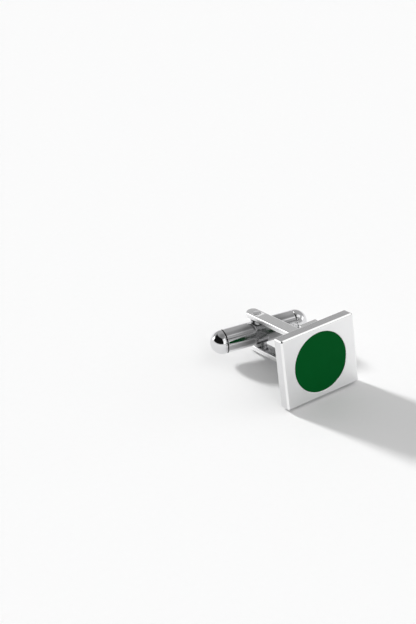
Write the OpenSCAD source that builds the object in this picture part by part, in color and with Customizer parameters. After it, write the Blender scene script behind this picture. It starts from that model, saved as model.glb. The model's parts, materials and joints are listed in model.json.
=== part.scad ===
// Cufflink with a round green inlay, a two-armed post and a swivelling bullet toggle.
// It rests as such a cufflink does on a table: on the lower edge of its back strip and the tip
// of its lower arm, with the head leaning back. Millimetres, +Z up, the head's face towards -Y.

/* [Head] */
// Width of the head plate
head_w = 17; // [14.5:0.1:22]
// Height of the head plate
head_h = 14.4; // [13.2:0.1:18]
// Thickness of the head plate
head_t = 2.5; // [1.6:0.1:4]
// Radius of the four corners of the plate, seen from the front
head_corner = 0.5; // [0.35:0.05:1]
// Width of the broken edge round the front and round the back
head_edge = 0.3; // [0.1:0.05:0.5]

/* [Inlay] */
// Diameter of the green disc, which shows on both sides of the plate
inlay_d = 12; // [8:0.1:12.4]
// How far the faces of the disc lie below those of the plate
inlay_recess = 0.05; // [0.02:0.01:0.2]
// Bedding gap round the disc
inlay_gap = 0.02; // [0.01:0.01:0.08]
// Width of the broken rim of the disc's seat
inlay_rim = 0.1; // [0.05:0.01:0.2]

/* [Back strip] */
// Width of the strip that runs down the back of the plate
strip_w = 3.8; // [3:0.1:6]
// Thickness of the strip
strip_t = 0.9; // [0.6:0.05:1.6]
// Width of the broken edge round the back of the strip
strip_edge = 0.2; // [0.05:0.05:0.3]

/* [Arms] */
// Width of each arm, along the head's width
arm_w = 2.7; // [2.3:0.1:3.4]
// Thickness of each arm, along the pin
arm_t = 1.3; // [1:0.1:2]
// Distance from the back of the plate to the pin
pin_reach = 17.4; // [14:0.1:21]
// Distance that each arm runs on past the pin
arm_overhang = 2.8; // [2:0.1:4]
// Radius of the long edges of each arm
arm_round = 0.3; // [0.15:0.05:0.45]
// Radius of the solder fillets at the root of each arm
arm_fillet = 0.2; // [0.1:0.05:0.5]

/* [Pivot pin] */
// Diameter of the pin
pin_d = 1.5; // [1.2:0.05:1.8]
// Depth of each of the four flats in the middle of the pin
flat_depth = 0.15; // [0.08:0.01:0.2]
// Diameter of the riveted ends in the outer faces of the arms
rivet_d = 1.8; // [1.6:0.05:2.2]
// Depth of the countersinks that the riveted ends fill
rivet_sink = 0.2; // [0.15:0.05:0.4]
// How far the riveted ends stand proud of the arms
rivet_dome = 0.08; // [0.04:0.01:0.25]

/* [Toggle] */
// Outer diameter of the toggle
toggle_d = 4.8; // [4.2:0.1:5.6]
// Length of the toggle over both end caps
toggle_l = 20.5; // [17:0.1:24]
// Wall of the hollow barrel
toggle_wall = 0.6; // [0.4:0.05:0.8]
// Straight part of each end cap, between the groove at the seam and the dome
cap_skirt = 0.2; // [0.02:0.01:1]
// Length of the plug by which each end cap sits in the barrel
cap_plug = 1.5; // [1:0.1:2.2]
// Depth of the V groove at each seam
seam_depth = 0.14; // [0.05:0.01:0.25]
// Diameter of the two bosses that the pin passes through
boss_d = 2.7; // [2.3:0.1:3.2]
// Gap between the toggle and each arm
side_gap = 0.4; // [0.2:0.05:0.6]

/* [Click stop] */
// Length of the guided part of each plunger
plunger_l = 1.5; // [1:0.1:2]
// Length of the spigot that centres the spring on each plunger
spigot_l = 1; // [0.5:0.1:1.5]
// Wire diameter of the springs
spring_wire = 0.35; // [0.2:0.05:0.4]
// Turns of each spring
spring_turns = 4; // [3:1:4]

/* [Fits] */
// Radial clearance of what turns on the pin and of what slides in the barrel
running_gap = 0.03; // [0.01:0.01:0.08]
// Clearance round what is soldered, riveted or pressed in
fixed_gap = 0.01; // [0.005:0.005:0.02]
// Free play of the bosses between the arms, on each side
boss_play = 0.05; // [0.02:0.01:0.1]
// Clearance between the plungers and the corners of the squared pin
corner_gap = 0.02; // [0.01:0.01:0.06]
// Clearance round the springs, and at both of their ends
spring_gap = 0.12; // [0.05:0.01:0.2]

/* [Resting pose] */
// Angle of the toggle about the pin, from level with the head's width
toggle_swing = -12; // [-15:1:15]

/* [Hidden] */
$fn = 96;

// Steps of each rounded corner, and of the dome on each riveted end
corner_steps = 5;
dome_steps = 4;
// Rings of one spring turn, and sides of its wire
spring_rings = 8;
wire_sides = 6;
// Overlap that keeps a cut clear of the face that it opens
cut = 0.5;

arm_gap = toggle_d + 2 * side_gap;
arm_middle = (arm_gap + arm_t) / 2;
arm_outer = arm_gap / 2 + arm_t;
arm_end = pin_reach + arm_overhang;
pin_r = pin_d / 2;
barrel_bore_r = toggle_d / 2 - toggle_wall;
dome_x = (toggle_l - toggle_d) / 2;
seam_x = dome_x - cap_skirt - seam_depth - fixed_gap;
plug_end_x = seam_x - cap_plug;
plunger_face_x = pin_r + corner_gap;
plunger_back_x = plunger_face_x + plunger_l;
spring_from = plunger_back_x + spring_gap;
spring_to = plug_end_x - spring_gap;
spring_coil_r = barrel_bore_r - spring_gap - spring_wire / 2;
spigot_r = spring_coil_r - spring_wire / 2 - spring_gap;
steel = [0.80, 0.81, 0.83];
bright = [0.88, 0.89, 0.91];
green = [0.01, 0.29, 0.13];
wire_grey = [0.55, 0.56, 0.58];

// The cufflink is built upright with the back of the plate at y = 0 and the pin upright at
// y = pin_reach. It then leans back by the angle at which the foot of the strip and the tip
// of the lower arm are level.
foot_y = strip_t - strip_edge;
tip_y = arm_end - arm_round;
lean = atan2(head_h / 2 - arm_outer, tip_y - foot_y);
function leaned_y(y, z) = (y - foot_y) * cos(lean) + (z + head_h / 2) * sin(lean);
front_y = leaned_y(-head_t, head_edge - head_h / 2);
arm_back_y = leaned_y(arm_end, arm_outer - arm_round);
toggle_back_y = leaned_y(pin_reach + dome_x * abs(sin(toggle_swing)), 0) + toggle_d / 2;
middle_y = (front_y + max(arm_back_y, toggle_back_y)) / 2;

// Stands the upright cufflink on its two feet, centred over the origin.
module stand() {
    translate([0, -middle_y, 0])
        rotate([-lean, 0, 0])
            translate([0, -foot_y, head_h / 2])
                children();
}

// Places what turns with the toggle: its own length along X, the pin along Z.
module on_pin() {
    stand()
        translate([0, pin_reach, 0])
            rotate([0, 0, toggle_swing])
                children();
}

// Lays a shape that is turned about Z along X, towards +X or, with side = -1, towards -X.
module along_x(side = 1) {
    rotate([0, 90 * side, 0]) children();
}

// Points of one rounded corner of radius r about a centre, from angle a on, anticlockwise.
function corner(x, y, r, a) = [
    for (i = [0:corner_steps])
        [x + r * cos(a + 90 * i / corner_steps), y + r * sin(a + 90 * i / corner_steps)]
];

// Outline of a rectangle with rounded corners, centred.
function rounded_rectangle(w, h, r) = concat(
    corner(w / 2 - r, h / 2 - r, r, 0),
    corner(r - w / 2, h / 2 - r, r, 90),
    corner(r - w / 2, r - h / 2, r, 180),
    corner(w / 2 - r, r - h / 2, r, 270)
);

// Cutter that breaks a straight edge along X at the origin by the given width.
module edge_cutter(length, width) {
    rotate([45, 0, 0]) cube([length, width * sqrt(2), width * sqrt(2)], center = true);
}

// Breaks the four sides of a w x h face that lies in the XZ plane at height y.
module face_edge_cutters(y, w, h, width) {
    for (s = [-1, 1]) {
        translate([0, y, s * h / 2]) edge_cutter(w + 2 * cut, width);
        translate([s * w / 2, y, 0]) rotate([0, 90, 0]) edge_cutter(h + 2 * cut, width);
    }
}

// Rounded plate outline pushed along Y from y0 to y1.
module plate_block(w, h, r, y0, y1) {
    translate([0, y1, 0])
        rotate([90, 0, 0])
            linear_extrude(y1 - y0)
                polygon(rounded_rectangle(w, h, r));
}

// Seat of the disc: a straight bore with a broken rim at the front and at the back.
module inlay_seat() {
    r = inlay_d / 2 + inlay_gap;
    half = head_t / 2;
    translate([0, -half, 0])
        rotate([90, 0, 0])
            rotate_extrude()
                polygon([
                    [0, -half - cut], [r + inlay_rim + cut, -half - cut], [r, -half + inlay_rim],
                    [r, half - inlay_rim], [r + inlay_rim + cut, half + cut], [0, half + cut]
                ]);
}

module head_plate() {
    color(bright)
        stand()
            difference() {
                plate_block(head_w, head_h, head_corner, -head_t, 0);
                face_edge_cutters(-head_t, head_w, head_h, head_edge);
                face_edge_cutters(0, head_w, head_h, head_edge);
                inlay_seat();
            }
}

module inlay_disc() {
    color(green)
        stand()
            translate([0, -inlay_recess, 0])
                rotate([90, 0, 0])
                    cylinder(h = head_t - 2 * inlay_recess, d = inlay_d);
}

// The strip is as tall as the plate and soldered to its back, over the inlay.
module back_strip() {
    color(bright)
        stand()
            difference() {
                translate([-strip_w / 2, 0, -head_h / 2]) cube([strip_w, strip_t, head_h]);
                face_edge_cutters(strip_t, strip_w, head_h, strip_edge);
            }
}

// Bar section of an arm: its width along X, its thickness along Y.
module arm_section() {
    polygon(rounded_rectangle(arm_w, arm_t, arm_round));
}

// Hole for the pin with a countersink in the outer face, the arm lying in the XY plane.
module pin_hole() {
    r = pin_r + fixed_gap;
    rim = rivet_d / 2 + fixed_gap;
    rotate_extrude()
        polygon([
            [0, -arm_t / 2 - cut], [r, -arm_t / 2 - cut], [r, arm_t / 2 - rivet_sink],
            [rim, arm_t / 2], [rim, arm_t / 2 + cut], [0, arm_t / 2 + cut]
        ]);
}

// One arm from the strip to its round end, with its outer face up and the pin hole at the
// origin.
module arm() {
    bar_from = strip_t - pin_reach;
    round_y = arm_overhang - arm_w / 2;
    fillet_x = arm_w / 2 + arm_fillet;
    difference() {
        union() {
            translate([0, round_y, 0])
                rotate([90, 0, 0])
                    linear_extrude(round_y - bar_from)
                        arm_section();
            translate([0, round_y, 0])
                rotate_extrude(angle = 180)
                    intersection() {
                        arm_section();
                        translate([0, -arm_t]) square([arm_w, 2 * arm_t]);
                    }
            translate([0, bar_from, 0])
                linear_extrude(arm_t - 2 * arm_round, center = true)
                    polygon(concat(
                        corner(fillet_x, arm_fillet, arm_fillet, 180),
                        corner(-fillet_x, arm_fillet, arm_fillet, 270)
                    ));
        }
        pin_hole();
    }
}

module upper_arm() {
    color(steel) stand() translate([0, pin_reach, arm_middle]) arm();
}

module lower_arm() {
    color(steel) stand() translate([0, pin_reach, -arm_middle]) mirror([0, 0, 1]) arm();
}

// Profile of half the pin, from its middle to one riveted end, whose dome is part of a ball.
module pin_profile() {
    rivet_r = rivet_d / 2;
    ball_r = (rivet_r * rivet_r + rivet_dome * rivet_dome) / (2 * rivet_dome);
    ball_z = arm_outer + rivet_dome - ball_r;
    dome = [
        for (i = [0:dome_steps])
            let (x = rivet_r * (1 - i / dome_steps))
            [x, ball_z + sqrt(ball_r * ball_r - x * x)]
    ];
    polygon(concat([[0, 0], [pin_r, 0], [pin_r, arm_outer - rivet_sink]], dome));
}

// A round pin, riveted in both arms and squared by four flats inside the barrel.
module pivot_pin() {
    flat_from = pin_r - flat_depth;
    flat_h = 2 * (barrel_bore_r - running_gap);
    color(steel)
        stand()
            translate([0, pin_reach, 0])
                difference() {
                    union() {
                        rotate_extrude() pin_profile();
                        mirror([0, 0, 1]) rotate_extrude() pin_profile();
                    }
                    for (a = [0:90:270])
                        rotate([0, 0, a])
                            translate([flat_from, -pin_d, -flat_h / 2])
                                cube([pin_d, 2 * pin_d, flat_h]);
                }
}

// The hollow barrel, with a boss at each side for the pin and a groove at each seam.
module toggle_barrel() {
    r = toggle_d / 2;
    boss_h = 2 * (arm_gap / 2 - boss_play);
    color(bright)
        on_pin()
            difference() {
                union() {
                    along_x()
                        rotate_extrude()
                            polygon([
                                [0, -seam_x], [r - seam_depth, -seam_x], [r, seam_depth - seam_x],
                                [r, seam_x - seam_depth], [r - seam_depth, seam_x], [0, seam_x]
                            ]);
                    cylinder(h = boss_h, d = boss_d, center = true);
                }
                along_x() cylinder(h = 2 * seam_x + 2 * cut, r = barrel_bore_r, center = true);
                cylinder(h = boss_h + 2 * cut, r = pin_r + running_gap, center = true);
            }
}

// Domed end cap, turned in one piece with the plug that sits in the barrel.
module end_cap(side) {
    r = toggle_d / 2;
    plug_r = barrel_bore_r - fixed_gap;
    from = seam_x + fixed_gap;
    color(bright)
        on_pin()
            along_x(side)
                rotate_extrude()
                    union() {
                        intersection() {
                            translate([0, dome_x]) circle(r);
                            translate([0, dome_x]) square(r + cut);
                        }
                        polygon([
                            [0, plug_end_x], [plug_r - seam_depth, plug_end_x],
                            [plug_r, plug_end_x + seam_depth], [plug_r, from],
                            [r - seam_depth, from], [r, from + seam_depth], [r, dome_x],
                            [0, dome_x]
                        ]);
                    }
}

module left_end_cap() { end_cap(-1); }

module right_end_cap() { end_cap(1); }

// Plunger that the spring holds against a flat of the pin.
module plunger(side) {
    r = barrel_bore_r - running_gap;
    color(steel)
        on_pin()
            along_x(side)
                rotate_extrude()
                    polygon([
                        [0, plunger_face_x], [r - seam_depth, plunger_face_x],
                        [r, plunger_face_x + seam_depth], [r, plunger_back_x],
                        [spigot_r, plunger_back_x], [spigot_r, plunger_back_x + spigot_l],
                        [0, plunger_back_x + spigot_l]
                    ]);
}

module left_plunger() { plunger(-1); }

module right_plunger() { plunger(1); }

// One ring of wire at step i of the helix: points round the wire, square to its path.
function wire_ring(i, rise) =
    let (
        a = 360 * i / spring_rings,
        out = [cos(a), sin(a), 0],
        path = [-spring_coil_r * sin(a) * PI / 180, spring_coil_r * cos(a) * PI / 180,
                rise * spring_rings / 360],
        up = cross(out, path) / norm(path),
        centre = spring_coil_r * out + [0, 0, rise * i]
    )
    [for (k = [0:wire_sides - 1])
        centre + spring_wire / 2 * (cos(360 * k / wire_sides) * out + sin(360 * k / wire_sides) * up)];

// Compression spring from the back of the plunger to the plug of the end cap.
module spring(side) {
    steps = spring_turns * spring_rings;
    length = spring_to - spring_from - spring_wire;
    rise = length / steps;
    points = [for (i = [0:steps]) each wire_ring(i, rise)];
    walls = [
        for (i = [0:steps - 1]) for (k = [0:wire_sides - 1])
            let (a = i * wire_sides + k, b = i * wire_sides + (k + 1) % wire_sides)
            each [[a, a + wire_sides, b], [b, a + wire_sides, b + wire_sides]]
    ];
    last = steps * wire_sides;
    ends = [
        for (k = [1:wire_sides - 2]) each [[0, k, k + 1], [last, last + k + 1, last + k]]
    ];
    color(wire_grey)
        on_pin()
            along_x(side)
                translate([0, 0, spring_from + spring_wire / 2])
                    polyhedron(points, concat(walls, ends));
}

module left_spring() { spring(-1); }

module right_spring() { spring(1); }

head_plate();
inlay_disc();
back_strip();
upper_arm();
lower_arm();
pivot_pin();
toggle_barrel();
left_end_cap();
right_end_cap();
left_plunger();
right_plunger();
left_spring();
right_spring();
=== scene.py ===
# A cufflink with a round green inlay, a two-armed post and a swivelling bullet toggle, standing
# on its strip and its lower arm on a white table. It is drawn upright in millimetres, its face
# towards -Y and its pin upright, and each finished mesh is then laid in its place.
import json
import math

import bmesh
import bpy
from mathutils import Matrix, Vector
from mathutils.geometry import tessellate_polygon


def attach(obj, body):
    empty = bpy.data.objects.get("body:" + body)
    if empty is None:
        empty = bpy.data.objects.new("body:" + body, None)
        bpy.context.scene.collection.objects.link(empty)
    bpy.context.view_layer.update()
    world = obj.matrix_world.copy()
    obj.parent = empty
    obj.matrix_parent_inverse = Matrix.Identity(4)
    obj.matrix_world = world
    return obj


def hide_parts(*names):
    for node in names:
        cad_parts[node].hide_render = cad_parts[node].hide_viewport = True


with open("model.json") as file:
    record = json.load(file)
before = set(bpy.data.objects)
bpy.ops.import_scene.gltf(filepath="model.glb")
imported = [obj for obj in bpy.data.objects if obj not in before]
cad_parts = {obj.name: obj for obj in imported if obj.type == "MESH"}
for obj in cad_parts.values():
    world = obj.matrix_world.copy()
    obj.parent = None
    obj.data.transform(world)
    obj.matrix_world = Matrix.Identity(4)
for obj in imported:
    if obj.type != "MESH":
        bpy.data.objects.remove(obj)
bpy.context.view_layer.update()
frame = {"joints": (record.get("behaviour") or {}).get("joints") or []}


# Camera: at the height and distance of a hand-held close-up from the front left, with a long
# lens, and turned a little about its own axis.
def put(name, data):
    """Adds an object to the scene."""
    added = bpy.data.objects.new(name, data)
    bpy.context.scene.collection.objects.link(added)
    return added


bpy.context.scene.view_settings.view_transform = "Standard"
lens = bpy.data.cameras.new("camera")
lens.lens, lens.sensor_width = 92.31, 36
lens.clip_start, lens.clip_end = 0.02, 20
camera = put("camera", lens)
bpy.context.scene.camera = camera
camera_place = (-0.15726, -0.20657, 0.17324)
bearing, dip, turn = math.radians(34.065), math.radians(31.632), math.radians(-1.722)
ahead = Vector((
    math.sin(bearing) * math.cos(dip), math.cos(bearing) * math.cos(dip), -math.sin(dip),
))
across = Vector((math.cos(bearing), -math.sin(bearing), 0))
upward = across.cross(ahead)
across, upward = (
    across * math.cos(turn) + upward * math.sin(turn),
    upward * math.cos(turn) - across * math.sin(turn),
)
aim = Matrix((across, upward, -ahead)).transposed().to_4x4()
camera.matrix_world = Matrix.Translation(camera_place) @ aim


# Table: a sheet of smooth white card that runs on past the horizon. Its finish is a tree of
# nodes, as every finish here is: node() adds any node, and a Value wraps one of its sockets,
# on which maths is written as for a number.
class Value:
    def __init__(self, tree, socket):
        self.tree, self.socket = tree, socket

    def maths(self, operation, *terms):
        return self.tree.node("ShaderNodeMath", {"operation": operation}, dict(enumerate(terms)))

    def __add__(self, other):
        return self.maths("ADD", self, other)

    def __sub__(self, other):
        return self.maths("SUBTRACT", self, other)

    def __rsub__(self, other):
        return self.maths("SUBTRACT", other, self)

    def __mul__(self, other):
        return self.maths("MULTIPLY", self, other)

    __radd__ = __add__
    __rmul__ = __mul__

    def __gt__(self, other):
        return self.maths("GREATER_THAN", self, other)

    def __abs__(self):
        return self.maths("ABSOLUTE", self)

    def __getitem__(self, name):
        return Value(self.tree, self.socket.node.outputs[name])


class Tree:
    def __init__(self, owner):
        owner.use_nodes = True
        self.owner, self.nodes = owner, owner.node_tree
        self.nodes.nodes.clear()

    def node(self, kind, settings=None, sockets=None):
        made = self.nodes.nodes.new(kind)
        for name, value in (settings or {}).items():
            if name == "stops":
                ramp = made.color_ramp
                while len(ramp.elements) < len(value):
                    ramp.elements.new(0.5)
                for stop, (place, level) in zip(ramp.elements, value):
                    stop.position, stop.color = place, (level, level, level, 1)
            else:
                setattr(made, name, value)
        for name, value in (sockets or {}).items():
            if isinstance(value, Value):
                self.nodes.links.new(value.socket, made.inputs[name])
            else:
                made.inputs[name].default_value = value
        return Value(self, made.outputs[0]) if made.outputs else None

    def between(self, share, low, high):
        """Colour mixed from low to high."""
        low, high = [c if isinstance(c, Value) else (*c, 1) for c in (low, high)]
        mixed = self.node("ShaderNodeMix", {"data_type": "RGBA"}, {0: share, 6: low, 7: high})
        return Value(self, mixed.socket.node.outputs[2])

    def step(self, value, low, high):
        """0 where value is at low or past it, 1 at high or past it, and eased in between."""
        return self.node(
            "ShaderNodeMapRange",
            {"interpolation_type": "SMOOTHSTEP"},
            {"Value": value, "From Min": low, "From Max": high},
        )

    def along(self, place, axis):
        """How far a place reaches along an axis."""
        settings = {"operation": "DOT_PRODUCT"}
        return self.node("ShaderNodeVectorMath", settings, {0: place, 1: axis})["Value"]

    def noise(self, where, scale, detail=2.0, roughness=0.5):
        return self.node(
            "ShaderNodeTexNoise",
            None,
            {"Vector": where, "Scale": scale, "Detail": detail, "Roughness": roughness},
        )["Fac"]

    def ramp(self, value, *stops):
        return self.node("ShaderNodeValToRGB", {"stops": stops}, {"Fac": value})["Color"]

    def bump(self, height):
        """Slopes of a surface, from its height in metres."""
        sockets = {"Height": height, "Strength": 1.0, "Distance": 1.0}
        return self.node("ShaderNodeBump", None, sockets)


table_reach = 4
card = bpy.data.meshes.new("table")
card.from_pydata(
    [(table_reach * x, table_reach * y, 0) for x, y in ((-1, -1), (1, -1), (1, 1), (-1, 1))],
    [],
    [(0, 1, 2, 3)],
)
table = put("table", card)
white_card = Tree(bpy.data.materials.new("white card"))
tooth = white_card.noise(white_card.node("ShaderNodeTexCoord")["Object"], 900.0, 3.0)
hollow, crest = (0.955, 0.955, 0.955), (0.975, 0.975, 0.975)
bounce = white_card.node(
    "ShaderNodeBsdfDiffuse", None, {"Color": white_card.between(tooth, hollow, crest)}
)
white_card.node("ShaderNodeOutputMaterial", None, {"Surface": bounce})
card.materials.append(white_card.owner)


# Light: a low window behind the object, on the left, throws the long soft shadow. The metal
# shows the room: pale along the horizon and grey above, with a dark curtain that hangs from
# the left round to the camera, and with bright panels.
def lamp(name, level, spread, direction):
    made = bpy.data.lights.new(name, "SUN")
    made.energy, made.angle = level, math.radians(spread)
    placed = put(name, made)
    placed.rotation_mode = "QUATERNION"
    placed.rotation_quaternion = Vector(direction).to_track_quat("-Z", "Y")
    placed.visible_glossy = False


lamp("window", 3.25, 8, (0.274, -0.870, -0.409))
lamp("ceiling bounce", 0.46, 100, (0, 0, -1))

world = bpy.data.worlds.new("room")
bpy.context.scene.world = world
room = Tree(world)
direction = room.node("ShaderNodeTexCoord")["Generated"]
rise = room.node("ShaderNodeSeparateXYZ", None, {"Vector": direction})["Z"]


def panel(azimuth, elevation, width, tall, soft):
    """1 inside a soft-edged panel of the room, 0 outside. Angles are in degrees, and azimuth
    counts from straight behind the object towards its right."""
    a, e = math.radians(azimuth), math.radians(elevation)
    front = Vector((math.sin(a) * math.cos(e), math.cos(a) * math.cos(e), math.sin(e)))
    side = Vector((math.cos(a), -math.sin(a), 0))
    inside = room.along(direction, front) > 0.0
    for axis, size in ((side, width), (side.cross(front), tall)):
        limit, off = math.sin(math.radians(size / 2)), abs(room.along(direction, axis))
        inside = inside * room.step(off, limit + soft, limit - soft)
    return inside


brightness = room.ramp(
    rise * 0.5 + 0.5,
    (0.0, 0.9), (0.54, 0.95), (0.575, 0.6), (0.61, 0.5),
    (0.66, 0.45), (0.8, 0.46), (0.92, 0.43), (1.0, 0.25),
)
curtain = panel(-102, 32, 104, 72, 0.05) * room.step(rise, 0.15, 0.2)
brightness = brightness * (1 - curtain * 0.98)
bright_panels = {
    "screen in front": (-172, 34, 24, 46, 0.03, 1.1),
    "window": (-35, 16, 22, 22, 0.03, 1.6),
    "wall on the right": (116, 19, 36, 20, 0.04, 0.9),
    "skylight above it": (120, 56, 26, 26, 0.05, 0.7),
}
for *outline, glow in bright_panels.values():
    brightness = brightness + panel(*outline) * glow
sky = room.node("ShaderNodeBackground", None, {"Color": (1, 1, 1, 1), "Strength": brightness})
room.node("ShaderNodeOutputWorld", None, {"Surface": sky})


# Head plate: a plate of brass, cut square with a broken edge all round, bored for the inlay,
# then polished and plated like silver. The drawing's origin is the middle of its back.
head_w, head_h, head_t, head_corner, head_edge = 17, 14.4, 2.5, 0.5, 0.3
edge_round, edge_land, inner_corner = 0.1, 0.7, 0.1
inlay_d, inlay_gap, inlay_rim, rim_round, rim_land = 12, 0.02, 0.1, 0.03, 0.2
pin_reach = 17.4
per_metre = 1000
touching, speck = 1e-4, 1e-5

swivel = frame["joints"][0]
right = Vector((1, 0, 0))
up = Vector(swivel["axis"]).normalized()
back = up.cross(right)
lean = math.atan2(up.y, up.z)
root = Vector(swivel["pos_m"]) - back * pin_reach / per_metre
stand = Matrix.Translation(root) @ Matrix((right, back, up)).transposed().to_4x4()
stand = stand @ Matrix.Scale(1 / per_metre, 4)


def eased(corners, steps=4, support=0.03):
    """Line through (a, b, radius) corners, with an arc at each one and a point either side."""
    line = []
    for i, (a, b, radius) in enumerate(corners):
        here = Vector((a, b))
        if not radius:
            line.append(here)
            continue
        u = (Vector(corners[i - 1][:2]) - here).normalized()
        v = (Vector(corners[(i + 1) % len(corners)][:2]) - here).normalized()
        half = u.angle(v) / 2
        centre = here + (u + v).normalized() * radius / math.sin(half)
        run = radius / math.tan(half)
        first, last = here + u * run - centre, here + v * run - centre
        line.append(here + u * (run + support))
        for k in range(steps + 1):
            sweep = (math.pi - 2 * half) * k / steps
            share = math.sin(sweep) / math.sin(math.pi - 2 * half)
            start = math.sin(math.pi - 2 * half - sweep) / math.sin(math.pi - 2 * half)
            line.append(centre + first * start + last * share)
        line.append(here + v * (run + support))
    return line


def rectangle(w, h, radius, along=12, round_steps=6):
    """Points round a rectangle with rounded corners, anticlockwise from its right side."""
    points = []
    for cx, cy, start in ((1, 1, 0), (-1, 1, 90), (-1, -1, 180), (1, -1, 270)):
        centre = Vector((cx * (w / 2 - radius), cy * (h / 2 - radius)))
        for k in range(round_steps + 1):
            a = math.radians(start + 90 * k / round_steps)
            points.append(centre + radius * Vector((math.cos(a), math.sin(a))))
    line = []
    for i, point in enumerate(points):
        line.append(point)
        if i % (round_steps + 1) == round_steps:
            following = points[(i + 1) % len(points)]
            line += [point.lerp(following, k / along) for k in range(1, along)]
    return line


def skin(shape, rings, looped=False, ends=True):
    """Joins rings of as many points each by faces, and closes the loop or the two ends."""
    rows = [[shape.verts.new(p) for p in ring] for ring in rings]
    for one, other in zip(rows, rows[1:] + (rows[:1] if looped else [])):
        for i in range(len(one)):
            j = (i + 1) % len(one)
            shape.faces.new((one[i], one[j], other[j], other[i]))
    if ends and not looped:
        for row in (rows[0], rows[-1]):
            if (row[0].co - row[1].co).length > touching:
                shape.faces.new(row)
    return rows


def piece(name, shape, place, finish, body, node):
    """Closes a shape's seams, lays it in its place, turns its faces outwards and stands it in
    for its CAD node."""
    bmesh.ops.remove_doubles(shape, verts=shape.verts, dist=touching)
    bmesh.ops.dissolve_degenerate(shape, edges=shape.edges, dist=speck)
    shape.transform(place)
    bmesh.ops.recalc_face_normals(shape, faces=shape.faces)
    for face in shape.faces:
        face.smooth = True
    made = bpy.data.meshes.new(name)
    shape.to_mesh(made)
    shape.free()
    made.materials.append(finish)
    added = put(name, made)
    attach(added, body)
    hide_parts(node)


def upright(tree):
    """The place on the object in the drawing's own millimetres, as X, Y and Z."""
    spot = tree.node("ShaderNodeTexCoord")["Object"]
    return [
        tree.along(spot, axis * per_metre) - axis.dot(root) * per_metre
        for axis in (right, back, up)
    ]


def polished(name, colour, roughness, grain, turn=(0, 0, 0), detail=None):
    """Buffed and plated metal: a slow swell, faint lines that run with the buff, and haze.
    grain is the number of lines per millimetre along each axis after the turn. detail takes
    the tree, its colour and its roughness, and gives both back changed."""
    swell_height, line_height, ripple_height = 2.4e-6, 2.2e-7, 2.5e-7
    hazed = [c * 0.965 for c in colour]
    metal = Tree(bpy.data.materials.new(name))
    spot = metal.node(
        "ShaderNodeMapping",
        None,
        {
            "Vector": metal.node("ShaderNodeTexCoord")["Object"],
            "Rotation": turn,
            "Scale": (per_metre,) * 3,
        },
    )
    drawn = metal.node("ShaderNodeMapping", None, {"Vector": spot, "Scale": grain})
    lines = metal.noise(drawn, 1.0, 4.0, 0.6)
    swell = metal.noise(spot, 0.16, 1.0)
    ripple = metal.noise(spot, 1.3, 2.0)
    haze = metal.ramp(metal.noise(spot, 0.55, 5.0, 0.62), (0.42, 0.0), (0.72, 1.0))
    height = swell * swell_height + lines * line_height + ripple * ripple_height
    tone = metal.between(haze * 0.7 + lines * 0.3, colour, hazed)
    gloss = haze * 0.035 + lines * 0.02 + roughness
    if detail:
        tone, gloss = detail(metal, tone, gloss)
    surface = metal.node(
        "ShaderNodeBsdfPrincipled",
        None,
        {
            "Base Color": tone,
            "Metallic": 1.0,
            "Roughness": gloss,
            "Normal": metal.bump(height),
        },
    )
    metal.node("ShaderNodeOutputMaterial", None, {"Surface": surface})
    return metal.owner


def plate_finish(metal, tone, gloss):
    """The front has a rougher, satiny finish, and it is painted lighter than the sides as a
    sheen. The broken edges, where two pairs of faces meet, are smoother from wear and painted
    lighter as a highlight.
    """
    front_sheen, sheen_share, satin_rough = (0.93, 0.93, 0.935), 0.85, 0.27
    edge_highlight, edge_rough, soft = (0.9, 0.9, 0.9), 0.1, 0.07
    x, y, z = upright(metal)
    front = 1 - metal.step(y, 0.02 - head_t, 0.08 - head_t)
    # Painted sheen: the front's colour is mixed towards a lighter tone than the sides have.
    tone, gloss = metal.between(front * sheen_share, tone, front_sheen), gloss + front * satin_rough
    faces_near = 0.0
    for value, middle, size in ((x, 0, head_w), (y, -head_t / 2, head_t), (z, 0, head_h)):
        limit = size / 2 - head_edge
        faces_near = faces_near + metal.step(abs(value - middle), limit - soft, limit)
    # Painted highlight: the broken edges get a lighter colour, and a lower roughness for wear.
    worn_edge_and_highlight = metal.step(faces_near, 1.25, 1.75)
    return metal.between(worn_edge_and_highlight, tone, edge_highlight), gloss * (1 - worn_edge_and_highlight) + worn_edge_and_highlight * edge_rough


plate_silver = polished(
    "plate silver", (0.77, 0.77, 0.775), 0.12, (2.0, 2.0, 0.2), (lean, 0, 0), plate_finish
)
rim = rectangle(head_w, head_h, head_corner)


def seat_ring(radius, y):
    """Ring round the inlay's hole, with a point towards each point of the plate's outline."""
    return [(radius * p.x / p.length, y, radius * p.y / p.length) for p in rim]


def edge_ring(inset, y):
    """Ring round the plate, some way in from its outline."""
    corner = max(head_corner - inset, inner_corner)
    outline = rectangle(head_w - 2 * inset, head_h - 2 * inset, corner)
    return [(p.x, y, p.y) for p in outline]


seat_r = inlay_d / 2 + inlay_gap
front_seat = eased([
    (seat_r, -head_t / 2, 0),
    (seat_r, inlay_rim - head_t, rim_round),
    (seat_r + inlay_rim, -head_t, rim_round),
    (seat_r + inlay_rim + rim_land, -head_t, 0),
], support=0.02)
broken_edge = eased([
    (edge_land, -head_t, 0),
    (head_edge, -head_t, edge_round),
    (0, head_edge - head_t, edge_round),
    (0, -head_edge, edge_round),
    (head_edge, 0, edge_round),
    (edge_land, 0, 0),
])
shape = bmesh.new()
skin(
    shape,
    [seat_ring(a, b) for a, b in front_seat]
    + [edge_ring(a, b) for a, b in broken_edge]
    + [seat_ring(a, -head_t - b) for a, b in reversed(front_seat)],
    looped=True,
)
piece("head_skin", shape, stand, plate_silver, "head", "head_plate")


# Inlay: a disc of deep green resin, cast, cut to thickness and polished flat, which lies a
# hair below both faces of the plate in a thin bed of cement. Its back is painted darker, as
# shade. Like each turned piece here it is a profile that is revolved about its axis.
inlay_recess, inlay_round = 0.05, 0.05


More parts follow.
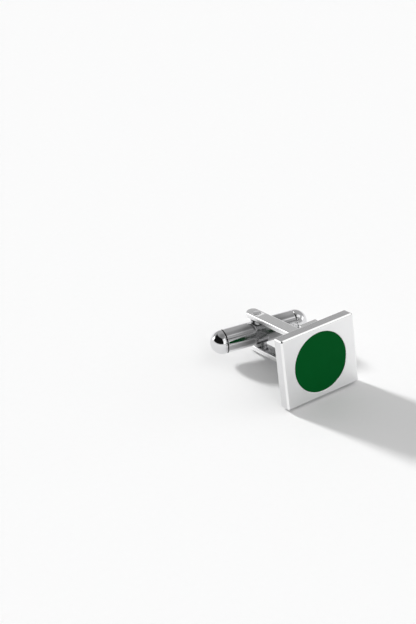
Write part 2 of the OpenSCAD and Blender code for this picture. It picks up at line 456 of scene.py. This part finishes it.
def node_tree(name, inputs, output):
    """A tree of geometry nodes with named inputs, its two end nodes and its inputs' keys."""
    tree = bpy.data.node_groups.new(name, "GeometryNodeTree")
    keys = {}
    for label, kind in inputs.items():
        made = tree.interface.new_socket(label, in_out="INPUT", socket_type="NodeSocket" + kind)
        keys[label] = made.identifier
    tree.interface.new_socket(output, in_out="OUTPUT", socket_type="NodeSocketGeometry")
    return tree, tree.nodes.new("NodeGroupInput"), tree.nodes.new("NodeGroupOutput"), keys


def finish_tree(tree, raw, ins, outs):
    """Ends a tree: its raw shape is shaded smooth, made real and given its finish."""
    smooth = tree.nodes.new("GeometryNodeSetShadeSmooth")
    real = tree.nodes.new("GeometryNodeRealizeInstances")
    coat = tree.nodes.new("GeometryNodeSetMaterial")
    link = tree.links.new
    link(raw, smooth.inputs["Geometry"])
    link(smooth.outputs["Geometry"], real.inputs["Geometry"])
    link(real.outputs["Geometry"], coat.inputs["Geometry"])
    link(ins.outputs["Finish"], coat.inputs["Material"])
    link(coat.outputs["Geometry"], outs.inputs[0])


def turning():
    """Geometry nodes that revolve a profile drawn as x = radius - 1, y = -height."""
    inputs = {"Profile": "Geometry", "Sides": "Int", "Finish": "Material"}
    tree, ins, outs, keys = node_tree("turned piece", inputs, "Piece")
    profile = tree.nodes.new("GeometryNodeMeshToCurve")
    circle = tree.nodes.new("GeometryNodeCurvePrimitiveCircle")
    level = tree.nodes.new("GeometryNodeSetCurveNormal")
    sweep = tree.nodes.new("GeometryNodeCurveToMesh")
    merge = tree.nodes.new("GeometryNodeMergeByDistance")
    circle.inputs["Radius"].default_value = 1.0
    level.mode = "Z_UP"
    merge.inputs["Distance"].default_value = touching
    link = tree.links.new
    link(ins.outputs["Profile"], profile.inputs["Mesh"])
    link(ins.outputs["Sides"], circle.inputs["Resolution"])
    link(circle.outputs["Curve"], level.inputs["Curve"])
    link(level.outputs["Curve"], sweep.inputs["Curve"])
    link(profile.outputs["Curve"], sweep.inputs["Profile Curve"])
    link(sweep.outputs["Mesh"], merge.inputs["Geometry"])
    finish_tree(tree, merge.outputs["Geometry"], ins, outs)
    return tree, keys


lathe, lathe_keys = turning()


def plain_mesh(name, drawn, tree, inputs):
    """The shape that a tree of geometry nodes makes from a drawn mesh."""
    holder = put(name, drawn)
    modifier = holder.modifiers.new(name, "NODES")
    modifier.node_group = tree
    for key, value in inputs.items():
        modifier[key] = value
    ready = holder.evaluated_get(bpy.context.evaluated_depsgraph_get())
    made = bpy.data.meshes.new_from_object(ready)
    bpy.data.objects.remove(holder)
    shape = bmesh.new()
    shape.from_mesh(made)
    return shape


def turned(name, profile, sides, finish):
    """A shape revolved about Z from (radius, height) points."""
    drawn = bpy.data.meshes.new(name)
    drawn.from_pydata(
        [(radius - 1, -height, 0) for radius, height in profile],
        [(i, i + 1) for i in range(len(profile) - 1)],
        [],
    )
    inputs = {lathe_keys["Sides"]: sides, lathe_keys["Finish"]: finish}
    return plain_mesh(name, drawn, lathe, inputs)


deep_green, light_green = (0.0002, 0.084, 0.0135), (0.0006, 0.099, 0.0185)
shaded_green_behind = (0.0002, 0.028, 0.006)
cloud_height, grain_height = 1.2e-6, 5e-8
resin = Tree(bpy.data.materials.new("green resin"))
spot = resin.node("ShaderNodeTexCoord")["Object"]
spot = resin.node("ShaderNodeMapping", None, {"Vector": spot, "Scale": (per_metre,) * 3})
cloud = resin.noise(spot, 0.45, 4.0, 0.55)
grain = resin.noise(spot, 9.0, 2.0)
green = resin.between(cloud * 0.75 + grain * 0.25, deep_green, light_green)
# Painted shade: the back of the disc is given a darker green.
behind = resin.step(upright(resin)[1], -1.6, -0.6)
surface = resin.node(
    "ShaderNodeBsdfPrincipled",
    None,
    {
        "Base Color": resin.between(behind, green, shaded_green_behind),
        "Roughness": cloud * 0.08 + 0.3,
        "Specular IOR Level": 0.02,
        "Normal": resin.bump(cloud * cloud_height + grain * grain_height),
    },
)
resin.node("ShaderNodeOutputMaterial", None, {"Surface": surface})
green_resin = resin.owner

inlay_r = inlay_d / 2
shape = turned("inlay", eased([
    (0, inlay_recess, 0),
    (inlay_r, inlay_recess, inlay_round),
    (inlay_r, head_t - inlay_recess, inlay_round),
    (0, head_t - inlay_recess, 0),
]), 192, green_resin)
placed = stand @ Matrix.Rotation(math.radians(90), 4, "X")
piece("inlay", shape, placed, green_resin, "head", "inlay_disc")


# Back strip: flat silver-plated bar, soldered down the middle of the plate's back, which
# carries the two arms.
strip_w, strip_t, strip_edge = 3.8, 0.9, 0.2
strip_round, strip_foot, strip_land = 0.07, 0.03, 0.5
strip_corner, strip_inner_corner = 0.06, 0.3


def strip_ring(inset, y):
    """Ring round the strip, some way in from its outline."""
    corner = strip_inner_corner if inset > strip_inner_corner else strip_corner
    outline = rectangle(strip_w - 2 * inset, head_h - 2 * inset, corner)
    return [(p.x, y, p.y) for p in outline]


strip_profile = eased([
    (strip_land, 0, 0),
    (0, 0, strip_foot),
    (0, strip_t - strip_edge, strip_round),
    (strip_edge, strip_t, strip_round),
    (strip_land, strip_t, 0),
])
shape = bmesh.new()
skin(shape, [strip_ring(a, b) for a, b in strip_profile])
piece("strip", shape, stand, plate_silver, "head", "back_strip")


# Arms: two straight bars of flat drawn wire with rounded edges, each rounded off at its end,
# drilled for the pin, and soldered to the strip with a small fillet all round.
arm_w, arm_t, arm_overhang, arm_buffed, arm_land = 2.7, 1.3, 2.8, 0.36, 0.02
solder_corner, solder_r, solder_tuck, solder_steps = 0.3, 0.2, 0.05, 6
pin_d, rivet_d, rivet_sink, rivet_lip, fixed_gap = 1.5, 1.8, 0.2, 0.01, 0.01
toggle_d, side_gap = 4.8, 0.4
arm_gap = toggle_d + 2 * side_gap
arm_middle = (arm_gap + arm_t) / 2
arm_root = strip_t - pin_reach


def arm_finish(metal, tone, gloss):
    """The sides of the drawn wire had only a tumble finish, so they are rougher than its two
    faces, and they are painted lighter, as a sheen.
    """
    side_sheen, tumbled_rough = (0.99, 0.99, 0.99), 0.28
    x, _, z = upright(metal)
    side = metal.step(abs(x), arm_w / 2 - 0.12, arm_w / 2 - 0.04)
    side = side * (1 - metal.step(abs(abs(z) - arm_middle), 0.3, 0.42))
    # Painted sheen: the flat sides get a lighter colour as well as a higher roughness.
    return metal.between(side, tone, side_sheen), gloss + side * tumbled_rough


arm_silver = polished(
    "arm silver", (0.94, 0.94, 0.945), 0.12, (5.0, 0.25, 5.0), (lean, 0, 0), arm_finish
)


def arm_ring(inset, z, side_steps=16, end_steps=32, support=0.03):
    """Outline of an arm from its root round its end, some way in from its edge."""
    half = arm_w / 2 - inset
    bend = arm_overhang - arm_w / 2
    side = [arm_root, arm_root + support]
    side += [arm_root + (bend - arm_root) * k / side_steps for k in range(1, side_steps)]
    end = [math.pi * k / end_steps for k in range(end_steps + 1)]
    ring = [(half, y, z) for y in side]
    ring += [(half * math.cos(a), bend + half * math.sin(a), z) for a in end]
    return ring + [(-half, y, z) for y in reversed(side)]


def hole_ring(radius, z, points=64):
    turns = [2 * math.pi * k / points for k in range(points)]
    return [(radius * math.cos(a), radius * math.sin(a), z) for a in turns]


def fill(shape, *loops):
    """Flat face between an outline and the hole in it."""
    corners = [v for loop in loops for v in loop]
    for a, b, c in tessellate_polygon([[v.co for v in loop] for loop in loops]):
        shape.faces.new((corners[a], corners[b], corners[c]))


def arm():
    """One arm, its outer face up and its pin hole at the origin."""
    shape = bmesh.new()
    top, bottom = arm_t / 2, -arm_t / 2
    edge = eased([
        (arm_buffed + arm_land, top, 0),
        (0, top, arm_buffed),
        (0, bottom, arm_buffed),
        (arm_buffed + arm_land, bottom, 0),
    ], steps=9, support=0.01)
    walls = skin(shape, [arm_ring(a, b) for a, b in edge], ends=False)
    hole, sunk = pin_d / 2 + fixed_gap, rivet_d / 2 + fixed_gap
    bore = skin(shape, [
        hole_ring(sunk, top),
        hole_ring(sunk - rivet_lip, top - rivet_lip),
        hole_ring(hole, top - rivet_sink),
        hole_ring(hole, bottom),
    ], ends=False)
    fill(shape, walls[0], bore[0])
    fill(shape, walls[-1], bore[-1])
    return shape


def solder(shape):
    """Fillet of solder round the root of an arm, on the back of the strip."""
    rings = []
    for k in range(solder_steps + 1):
        a = math.radians(90 * k / solder_steps)
        rings.append((solder_r * (1 - math.sin(a)), arm_root + solder_r * (1 - math.cos(a))))
    rings += [(-solder_tuck, arm_root + solder_r), (-solder_tuck, arm_root)]
    skin(shape, [
        [
            (p.x, y, p.y)
            for p in rectangle(
                arm_w + 2 * grow, arm_t + 2 * grow, solder_corner + grow, along=6, round_steps=8
            )
        ]
        for grow, y in rings
    ], looped=True)


for name, node, side in (("arm_up", "upper_arm", 1), ("arm_low", "lower_arm", -1)):
    shape = arm()
    solder(shape)
    placed = stand @ Matrix.Translation((0, pin_reach, side * arm_middle))
    placed = placed @ Matrix.Diagonal((1, 1, side, 1))
    piece(name, shape, placed, arm_silver, "head", node)


# Pivot pin: steel pin through both arms and the toggle, squared by four flats in the middle
# for the click stop, its ends riveted over in the countersinks and buffed with the arms.
flat_depth, rivet_dome, rivet_steps = 0.15, 0.08, 10
toggle_wall, running_gap = 0.6, 0.03
bore_r = toggle_d / 2 - toggle_wall
flat_end = bore_r - running_gap
arm_outer = arm_gap / 2 + arm_t
pin_steel = polished("pin steel", (0.78, 0.78, 0.79), 0.09, (3.0, 3.0, 3.0))


def pin_ring(radius, z, squared, points=96):
    ring = []
    for k in range(points):
        a = 2 * math.pi * k / points
        flat = (pin_d / 2 - flat_depth) / max(abs(math.cos(a)), abs(math.sin(a)))
        reach = min(radius, flat) if squared else radius
        ring.append((reach * math.cos(a), reach * math.sin(a), z))
    return ring


rivet_r = rivet_d / 2
ball_r = (rivet_r ** 2 + rivet_dome ** 2) / (2 * rivet_dome)
half_pin = [
    (pin_d / 2, flat_end, True),
    (pin_d / 2, flat_end, False),
    (pin_d / 2, arm_outer - rivet_sink, False),
]
for k in range(rivet_steps + 1):
    radius = rivet_r * (1 - k / rivet_steps)
    height = arm_outer + rivet_dome - ball_r + math.sqrt(ball_r ** 2 - radius ** 2)
    half_pin.append((radius, height, False))
shape = bmesh.new()
skin(
    shape,
    [pin_ring(radius, -z, squared) for radius, z, squared in reversed(half_pin)]
    + [pin_ring(radius, z, squared) for radius, z, squared in half_pin],
)
at_pin = stand @ Matrix.Translation((0, pin_reach, 0))
piece("pin", shape, at_pin, pin_steel, "head", "pivot_pin")


# Toggle barrel: thick brass tube with a boss at each side for the pin, turned, bored and
# plated, with a fine groove where each end cap meets it.
toggle_l, toggle_swing, cap_skirt = 20.5, -12, 0.2
seam_depth, seam_foot, seam_lip = 0.14, 0.02, 0.03
boss_d, boss_play, beside_boss = 2.7, 0.05, 1.7
cut_over, crisp, hub = 1, math.radians(30), 1e-6
toggle_r = toggle_d / 2
dome_x = (toggle_l - toggle_d) / 2
seam_x = dome_x - cap_skirt - seam_depth - fixed_gap
swung = at_pin @ Matrix.Rotation(math.radians(toggle_swing), 4, "Z")


def toggle_finish(metal, tone, gloss):
    """Polish has set in the groove at the left seam. Between the arms, on the side towards the
    head, the barrel is rougher and painted dark, as shade."""
    shade_tone, shade_share, dull_rough = (0.26, 0.26, 0.265), 0.8, 0.12
    old_polish, old_polish_rough = (0.045, 0.044, 0.042), 0.45
    x, y, _ = upright(metal)
    swing = math.radians(toggle_swing)
    along = x * math.cos(swing) + (y - pin_reach) * math.sin(swing)
    # Painted shade: between the arms, on the side towards the head, the colour is darkened and
    # the roughness raised.
    shade_between_arms = 1 - metal.step(abs(along), 2.4, 6.6)
    shade_between_arms = shade_between_arms * (1 - metal.step(y, pin_reach - 0.8, pin_reach + 0.7))
    tone, gloss = metal.between(shade_between_arms * shade_share, tone, shade_tone), gloss + shade_between_arms * dull_rough
    off = abs(along + (seam_x + fixed_gap / 2))
    grime = 1 - metal.step(off, seam_depth * 0.75, seam_depth * 1.05)
    tone = metal.between(grime, tone, old_polish)
    return tone, gloss * (1 - grime) + grime * old_polish_rough


toggle_silver = polished(
    "toggle silver", (0.74, 0.74, 0.75), 0.035, (0.3, 0.3, 6.0), (lean, 0, 0), toggle_finish
)


def lying_ring(radius, x, points):
    return [(x, a, b) for a, b, _ in hole_ring(radius, 0, points)]


def rod(radius, length, ring):
    """Solid rod, centred, along the axis of the kind of ring that is given."""
    shape = bmesh.new()
    skin(shape, [ring(radius, end, points=96) for end in (-length / 2, length / 2)])
    bmesh.ops.recalc_face_normals(shape, faces=shape.faces)
    return shape


def blank(name, shape):
    """A shape as an object, to be worked on or with."""
    made = bpy.data.meshes.new(name)
    shape.to_mesh(made)
    shape.free()
    return put(name, made)


def worked(name, shape, *cuts):
    """Shape after each (operation, other shape) has been joined to it or cut from it."""
    main = blank(name, shape)
    tools = [blank(name, other) for _, other in cuts]
    for (operation, _), tool in zip(cuts, tools):
        modifier = main.modifiers.new(name, "BOOLEAN")
        modifier.operation, modifier.solver, modifier.object = operation, "EXACT", tool
    ready = main.evaluated_get(bpy.context.evaluated_depsgraph_get())
    result = bmesh.new()
    result.from_mesh(bpy.data.meshes.new_from_object(ready))
    for used in (main, *tools):
        bpy.data.objects.remove(used)
    return result


outside = eased([
    (0, -seam_x, 0),
    (toggle_r - seam_depth, -seam_x, seam_foot),
    (toggle_r, seam_depth - seam_x, seam_lip),
    (toggle_r, -beside_boss, 0),
    (toggle_r, beside_boss, 0),
    (toggle_r, seam_x - seam_depth, seam_lip),
    (toggle_r - seam_depth, seam_x, seam_foot),
    (0, seam_x, 0),
])
shape = bmesh.new()
skin(shape, [lying_ring(max(radius, hub), x, 128) for radius, x in outside])
bmesh.ops.remove_doubles(shape, verts=shape.verts, dist=touching)
bmesh.ops.recalc_face_normals(shape, faces=shape.faces)
shape = worked(
    "barrel",
    shape,
    ("UNION", rod(boss_d / 2, 2 * (arm_gap / 2 - boss_play), hole_ring)),
    ("DIFFERENCE", rod(bore_r, 2 * seam_x + cut_over, lying_ring)),
    ("DIFFERENCE", rod(pin_d / 2 + running_gap, arm_gap + cut_over, hole_ring)),
)
for edge in shape.edges:
    edge.smooth = len(edge.link_faces) == 2 and edge.calc_face_angle(0) < crisp
piece("barrel", shape, swung, toggle_silver, "toggle", "toggle_barrel")


# End caps: turned from brass, each in one piece with the plug that is pressed in the barrel,
# and plated with it. The dome is half a ball.
cap_plug, plug_round, dome_steps = 1.5, 0.03, 30
left_and_right = (("left", -1), ("right", 1))
plug_end = seam_x - cap_plug
plug_r = bore_r - fixed_gap
cap_from = seam_x + fixed_gap


def outward(side):
    """The place of a piece that is drawn along Z, at the toggle's left (-1) or right (1)."""
    return swung @ Matrix.Rotation(math.radians(90 * side), 4, "Y")


cap_profile = eased([
    (0, plug_end, 0),
    (plug_r - seam_depth, plug_end, plug_round),
    (plug_r, plug_end + seam_depth, plug_round),
    (plug_r, cap_from, 0),
    (toggle_r - seam_depth, cap_from, seam_foot),
    (toggle_r, cap_from + seam_depth, seam_lip),
    (toggle_r, dome_x, 0),
])
for k in range(1, dome_steps + 1):
    a = math.radians(90 * k / dome_steps)
    cap_profile.append((toggle_r * math.cos(a), dome_x + toggle_r * math.sin(a)))
for hand, side in left_and_right:
    shape = turned(f"cap_{hand}", cap_profile, 128, toggle_silver)
    piece(
        f"cap_{hand}", shape, outward(side), toggle_silver,
        "toggle", f"{hand}_end_cap",
    )


# Plungers: turned steel, pressed on the flats of the pin by their springs. They stay inside
# the barrel.
plunger_l, plunger_round, shoulder_round = 1.5, 0.03, 0.04
spigot_l, spigot_round = 1, 0.08
spring_wire, corner_gap, spring_gap = 0.35, 0.02, 0.12
face_x = pin_d / 2 + corner_gap
back_x = face_x + plunger_l
guide_r = bore_r - running_gap
coil_r = bore_r - spring_gap - spring_wire / 2
spigot_r = coil_r - spring_wire / 2 - spring_gap
plunger_profile = eased([
    (0, face_x, 0),
    (guide_r - seam_depth, face_x, plunger_round),
    (guide_r, face_x + seam_depth, plunger_round),
    (guide_r, back_x, shoulder_round),
    (spigot_r, back_x, 0),
    (spigot_r, back_x + spigot_l, spigot_round),
    (0, back_x + spigot_l, 0),
])
for hand, side in left_and_right:
    shape = turned(f"plunger_{hand}", plunger_profile, 96, pin_steel)
    piece(
        f"plunger_{hand}", shape, outward(side), pin_steel,
        "toggle", f"{hand}_plunger",
    )


# Springs: hard-drawn steel wire, wound in four turns, which stand between each plunger and the
# plug of its end cap.
spring_turns, turn_steps, wire_sides = 4, 40, 14


def winding():
    """Geometry nodes that sweep round wire along a helix."""
    tree, ins, outs, keys = node_tree("wound spring", {
        "Turns": "Float", "Coil radius": "Float", "Wire radius": "Float",
        "Height": "Float", "Finish": "Material",
    }, "Spring")
    helix = tree.nodes.new("GeometryNodeCurveSpiral")
    section = tree.nodes.new("GeometryNodeCurvePrimitiveCircle")
    sweep = tree.nodes.new("GeometryNodeCurveToMesh")
    helix.inputs["Resolution"].default_value = turn_steps
    section.inputs["Resolution"].default_value = wire_sides
    sweep.inputs["Fill Caps"].default_value = True
    link = tree.links.new
    link(ins.outputs["Turns"], helix.inputs["Rotations"])
    link(ins.outputs["Coil radius"], helix.inputs["Start Radius"])
    link(ins.outputs["Coil radius"], helix.inputs["End Radius"])
    link(ins.outputs["Height"], helix.inputs["Height"])
    link(ins.outputs["Wire radius"], section.inputs["Radius"])
    link(helix.outputs["Curve"], sweep.inputs["Curve"])
    link(section.outputs["Curve"], sweep.inputs["Profile Curve"])
    finish_tree(tree, sweep.outputs["Mesh"], ins, outs)
    return tree, keys


dark_wire, light_wire = (0.36, 0.37, 0.39), (0.5, 0.5, 0.52)
wire = Tree(bpy.data.materials.new("spring wire"))
streak = wire.noise(wire.node("ShaderNodeTexCoord")["Object"], 9000.0, 4.0, 0.65)
surface = wire.node(
    "ShaderNodeBsdfPrincipled",
    None,
    {
        "Base Color": wire.between(streak, dark_wire, light_wire),
        "Metallic": 1.0,
        "Roughness": streak * 0.15 + 0.25,
    },
)
wire.node("ShaderNodeOutputMaterial", None, {"Surface": surface})
coil, coil_keys = winding()
spring_from = back_x + spring_gap + spring_wire / 2
spring_to = plug_end - spring_gap - spring_wire / 2
for hand, side in left_and_right:
    name = f"spring_{hand}"
    shape = plain_mesh(name, bpy.data.meshes.new(name), coil, {
        coil_keys["Turns"]: float(spring_turns),
        coil_keys["Coil radius"]: coil_r,
        coil_keys["Wire radius"]: spring_wire / 2,
        coil_keys["Height"]: spring_to - spring_from,
        coil_keys["Finish"]: wire.owner,
    })
    placed = outward(side) @ Matrix.Translation((0, 0, spring_from))
    piece(name, shape, placed, wire.owner, "toggle", f"{hand}_spring")
